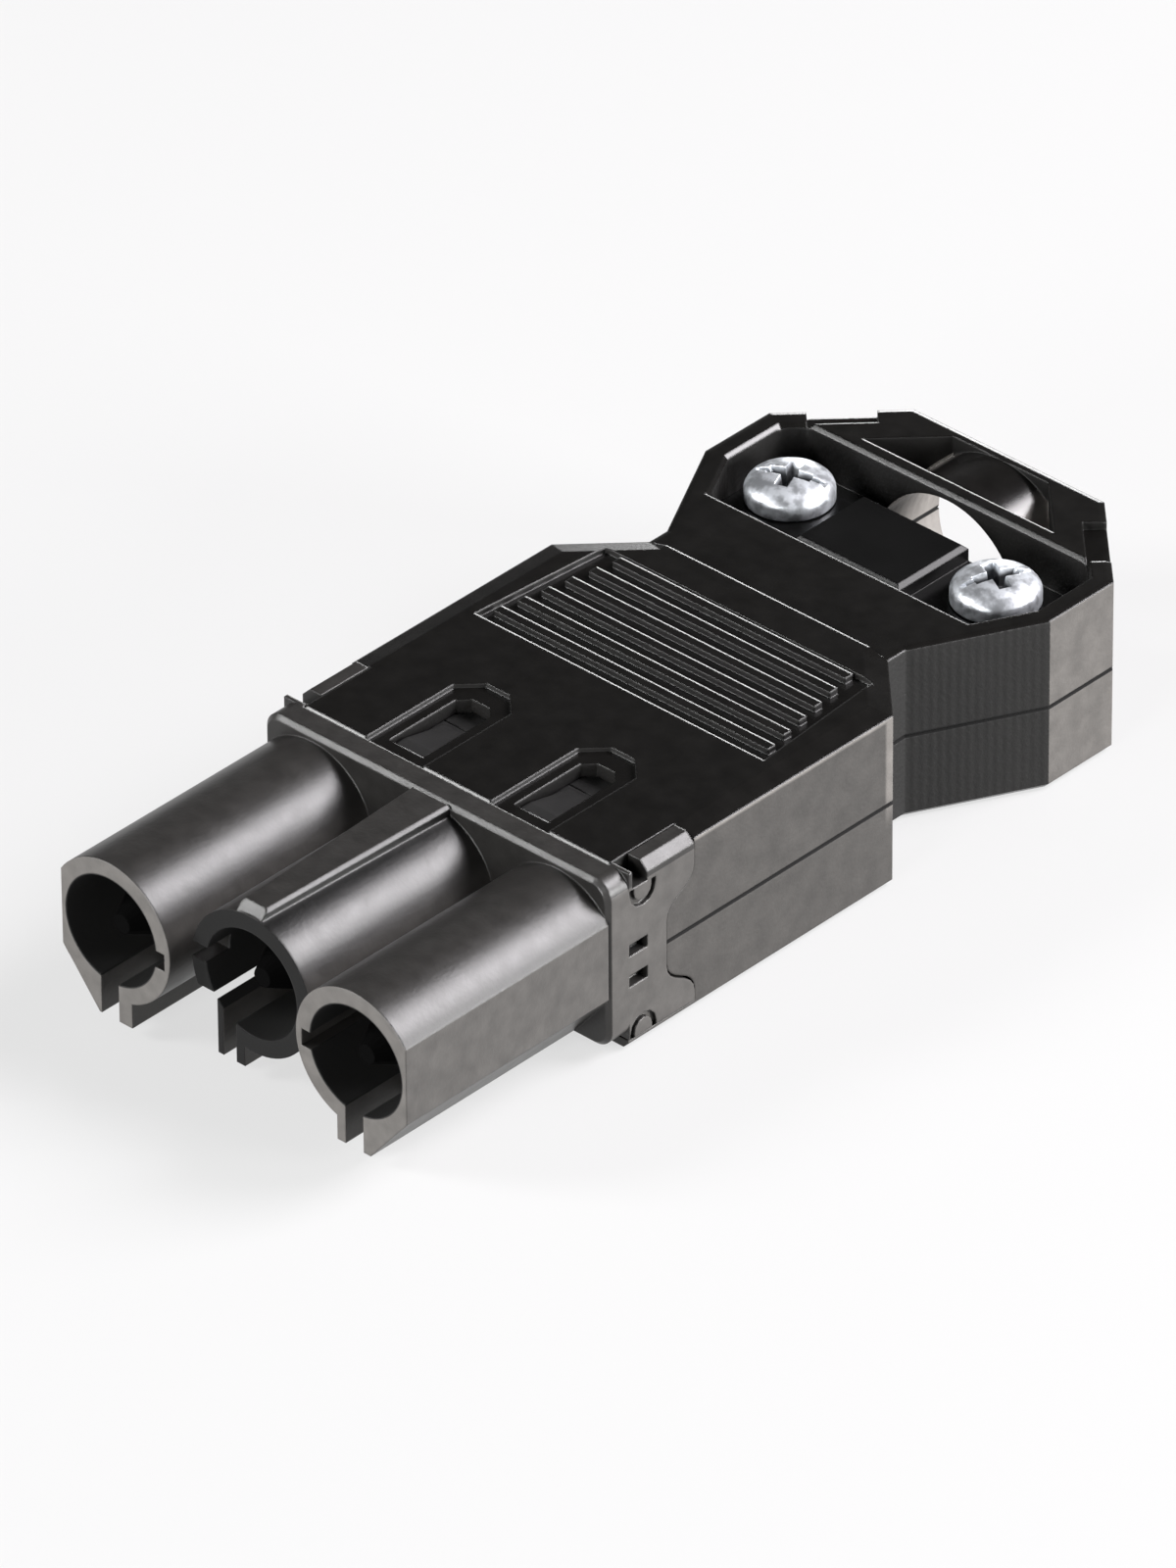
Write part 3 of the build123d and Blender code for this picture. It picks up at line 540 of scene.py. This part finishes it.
def plain_plastic(name, tone, roughness, shine):
    """Dark plastic of one tone with a fine grain."""
    g = surface(name)
    cloud = g.noise(PLAIN_CLOUD)
    darkest, palest = (grey(tone * share) for share in PLAIN_CLOUDING)
    colour = g.blend(cloud, darkest, palest, "RGBA")
    normal = g.bump(g.noise(PLAIN_GRAIN), PLAIN_GRAIN_DEPTH, g.soft_edges(PLAIN_EDGE_RADIUS))
    g.give("IOR", PLAIN_IOR)
    g.give("Specular IOR Level", shine)
    limits = (roughness - PLAIN_ROUGHNESS_SPREAD, roughness + PLAIN_ROUGHNESS_SPREAD)
    return g.finish(colour, g.varied(cloud, limits), normal)


def mottled_metal(name, colour, dull_share, roughness, mark_depth, metallic=1.0, recess_shade_share=None):
    """Bright metal with tooling marks, down to the dull share of its colour in patches, and to the recess
    shade share as painted shade in the screw recesses.
    """
    g = surface(name)
    marks = g.noise(TOOL_MARKS)
    tint = g.blend(g.ramp(marks, MOTTLE_BLEND), shaded(colour, dull_share), shaded(colour), "RGBA")
    # Painted shade in the recesses of the clamp screws
    if recess_shade_share is not None:
        tint = g.blend(screw_recess_shade(g), tint, shaded(colour, recess_shade_share), "RGBA")
    g.give("Metallic", metallic)
    normal = g.bump(marks, mark_depth, g.soft_edges(METAL_EDGE_RADIUS))
    return g.finish(tint, g.varied(marks, (roughness, roughness + METAL_ROUGHNESS_SPREAD)), normal)


def screw_recess_shade(g):
    """1 down in the recesses of the clamp screws, where shade is painted."""
    x, y, z = g.parts(g.coordinates["Object"])
    from_axis = g.distance(g.minus(g.unsigned(x), SCREW_X), g.minus(y, SCREW_Y))
    deep = g.opposite(g.ramp(z, RECESS_BLEND))
    return g.product(g.below(from_axis, RECESS_RADIUS), deep, g.above(z, HEAD_BASE))


def hidden_metal(name, colour, roughness):
    """Clean metal of the contacts and terminals inside the part."""
    return mottled_metal(name, colour, HIDDEN_METAL_DULL, roughness, TOOL_MARK_DEPTH)


def zinc_plating():
    """Bright zinc with duller patches, and painted shade in the recesses of the clamp screws."""
    return mottled_metal(
        "zinc", (0.7, 0.73, 0.77), ZINC_DULL, roughness=0.3, mark_depth=ZINC_MARK_DEPTH,
        metallic=0.8, recess_shade_share=ZINC_RECESS_SHADE,
    )


def materials():
    """The finish of each material slot in the record."""
    return {
        "carrier_plastic": carrier_plastic(),
        "shell_plastic": shell_plastic(),
        "bar_plastic": plain_plastic("bar_black", tone=0.003, roughness=0.25, shine=0.12),
        "tip_plastic": plain_plastic("tip_black", tone=0.001, roughness=0.7, shine=0.02),
        "contact_metal": hidden_metal("tin", (0.72, 0.70, 0.62), roughness=0.25),
        "terminal_brass": hidden_metal("brass", (0.76, 0.58, 0.26), roughness=0.25),
        "spring_steel": hidden_metal("spring_steel", (0.55, 0.55, 0.56), roughness=0.3),
        "zinc_steel": zinc_plating(),
    }


def dress_nodes(finishes):
    """Gives each CAD node its finish."""
    slots = {part["node"]: part["material_slot"] for part in frame["record"]["subparts"]}
    for name, piece in frame["nodes"].items():
        for slot in piece.material_slots:
            slot.material = finishes[slots[name]]


def lathe(name, profile, x, y):
    """Closed smooth mesh turned about the upright line at x and y, from pairs of radius and height."""
    body = bmesh.new()
    rings = []
    for radius, height in profile:
        steps = TURNING_STEPS if radius else 1
        turns = [2.0 * pi * i / TURNING_STEPS for i in range(steps)]
        rings.append([body.verts.new((x + radius * cos(t), y + radius * sin(t), height)) for t in turns])
    for low, high in zip(rings, rings[1:]):
        for i in range(TURNING_STEPS):
            k = i + 1
            corners = (low[i % len(low)], low[k % len(low)], high[k % len(high)], high[i % len(high)])
            body.faces.new(tuple(dict.fromkeys(corners)))
    bmesh.ops.recalc_face_normals(body, faces=body.faces)
    mesh = bpy.data.meshes.new(name)
    body.to_mesh(mesh)
    body.free()
    mesh.shade_smooth()
    return mesh


def screw_profile():
    """Half section of a pan-head screw, from the end of its thread up to the top of its dome."""
    points = [(0.0, SHANK_END), (THREAD_ROOT, SHANK_END)]
    height = SHANK_END + THREAD_RUN_IN
    while height + THREAD_PITCH < HEAD_BASE - THREAD_TO_HEAD:
        points += [(THREAD_ROOT, height), (SHANK_RADIUS, height + THREAD_PITCH / 2)]
        height += THREAD_PITCH
    points += [(THREAD_ROOT, height), (SHANK_RADIUS, HEAD_BASE - PLAIN_NECK), (SHANK_RADIUS, HEAD_BASE)]
    points += [(HEAD_RADIUS - HEAD_EDGE, HEAD_BASE), (HEAD_RADIUS, HEAD_BASE + HEAD_EDGE)]
    dome_base = HEAD_BASE + HEAD_SIDE
    for i in range(DOME_STEPS):
        turn = i / DOME_STEPS * pi / 2
        rise = (HEAD_TOP - dome_base) * sin(turn)
        points.append((HEAD_RADIUS * cos(turn) ** DOME_FULLNESS, dome_base + rise))
    return points + [(0.0, HEAD_TOP)]


def recess_cutter(x, turn):
    """Tapered cross with a shallow slot across it, as it is punched into the head."""
    body = bmesh.new()
    bars = ((0.0, CROSS, CROSS_FOOT_LENGTH), (pi / 2, CROSS, CROSS_FOOT_LENGTH), (0.0, SLOT, 1.0))
    for angle, (length, width, depth), foot_length in bars:
        corners = bmesh.ops.create_cube(body, size=2.0)["verts"]
        for corner in corners:
            low = corner.co.z < 0.0
            corner.co.x *= length * (foot_length if low else 1.0)
            corner.co.y *= width * (CUT_FOOT_WIDTH if low else 1.0)
            corner.co.z = HEAD_TOP - depth if low else HEAD_TOP + CUTTER_RISE
        spin = Matrix.Rotation(angle + turn, 4, "Z")
        bmesh.ops.transform(body, matrix=Matrix.Translation((x, SCREW_Y, 0.0)) @ spin, verts=corners)
    mesh = bpy.data.meshes.new("cutter")
    body.to_mesh(mesh)
    body.free()
    return mesh


def cut_away(mesh, tool):
    """A new mesh that is the first one without the room that the tool takes."""
    whole = bpy.data.objects.new("whole", mesh)
    cutter = bpy.data.objects.new("cutter", tool)
    for item in (whole, cutter):
        bpy.context.scene.collection.objects.link(item)
    cut = whole.modifiers.new("cut", "BOOLEAN")
    cut.operation = "DIFFERENCE"
    cut.solver = "EXACT"
    cut.use_self = True
    cut.object = cutter
    bpy.context.view_layer.update()
    made = bpy.data.meshes.new_from_object(whole.evaluated_get(bpy.context.evaluated_depsgraph_get()))
    for item in (whole, cutter):
        bpy.data.objects.remove(item)
    return made


def clamp_screw(side, x, turn, material):
    """Zinc pan-head screw with its thread and recess, in place of the plain CAD screw."""
    mesh = cut_away(lathe(f"{side}_screw_detail", screw_profile(), x, SCREW_Y), recess_cutter(x, turn))
    mesh.set_sharp_from_angle(angle=SHARP_ANGLE)
    mesh.materials.clear()
    mesh.materials.append(material)
    piece = bpy.data.objects.new(f"{side}_clamp_screw_detail", mesh)
    bpy.context.scene.collection.objects.link(piece)
    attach(piece, "root")
    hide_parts(f"{side}_clamp_screw")


def white_floor():
    """Grey floor with a glow that only shows it white, and so keeps the part's shadow."""
    bpy.ops.mesh.primitive_plane_add(size=FLOOR_SIZE, location=(0.0, 0.0, 0.0))
    floor = bpy.context.object
    floor.name = "floor"
    g = surface("floor_white")
    g.give("Base Color", grey(FLOOR_TONE))
    g.give("Roughness", FLOOR_ROUGHNESS)
    g.give("Specular IOR Level", 0.0)
    g.give("Emission Color", grey(1.0))
    g.give("Emission Strength", g.product(g.seen(), FLOOR_GLOW))
    floor.data.materials.append(g.owner)


def dim_surround():
    """Dim world that is seen white where it meets the floor at the horizon."""
    world = bpy.data.worlds.new("studio")
    bpy.context.scene.world = world
    g = Graph(world, "Background")
    _, _, height = g.parts(g.coordinates["Generated"])
    white = g.product(g.seen(), g.below(height, HORIZON_BAND))
    g.give("Color", grey(1.0))
    g.give("Strength", g.blend(white, SURROUND_LEVEL, 1.0))


place_camera()
finishes = materials()
dress_nodes(finishes)
clamp_screw("left", -SCREW_X, turn=radians(20.0), material=finishes["zinc_steel"])
clamp_screw("right", SCREW_X, turn=radians(65.0), material=finishes["zinc_steel"])
white_floor()
dim_surround()
area_light("right_side", azimuth=112.0, elevation=10.0, size=0.22, power=9.0)
area_light("front", azimuth=6.0, elevation=10.0, size=0.25, power=6.0)
area_light("front_left", azimuth=-44.0, elevation=30.0, size=0.16, power=3.5)
area_light("back_left", azimuth=-144.0, elevation=3.0, size=0.12, power=0.7)
area_light("behind", azimuth=143.0, elevation=40.0, size=0.31, power=8.8, colour=(1.0, 0.97, 1.0))
bpy.context.scene.view_settings.view_transform = "Standard"
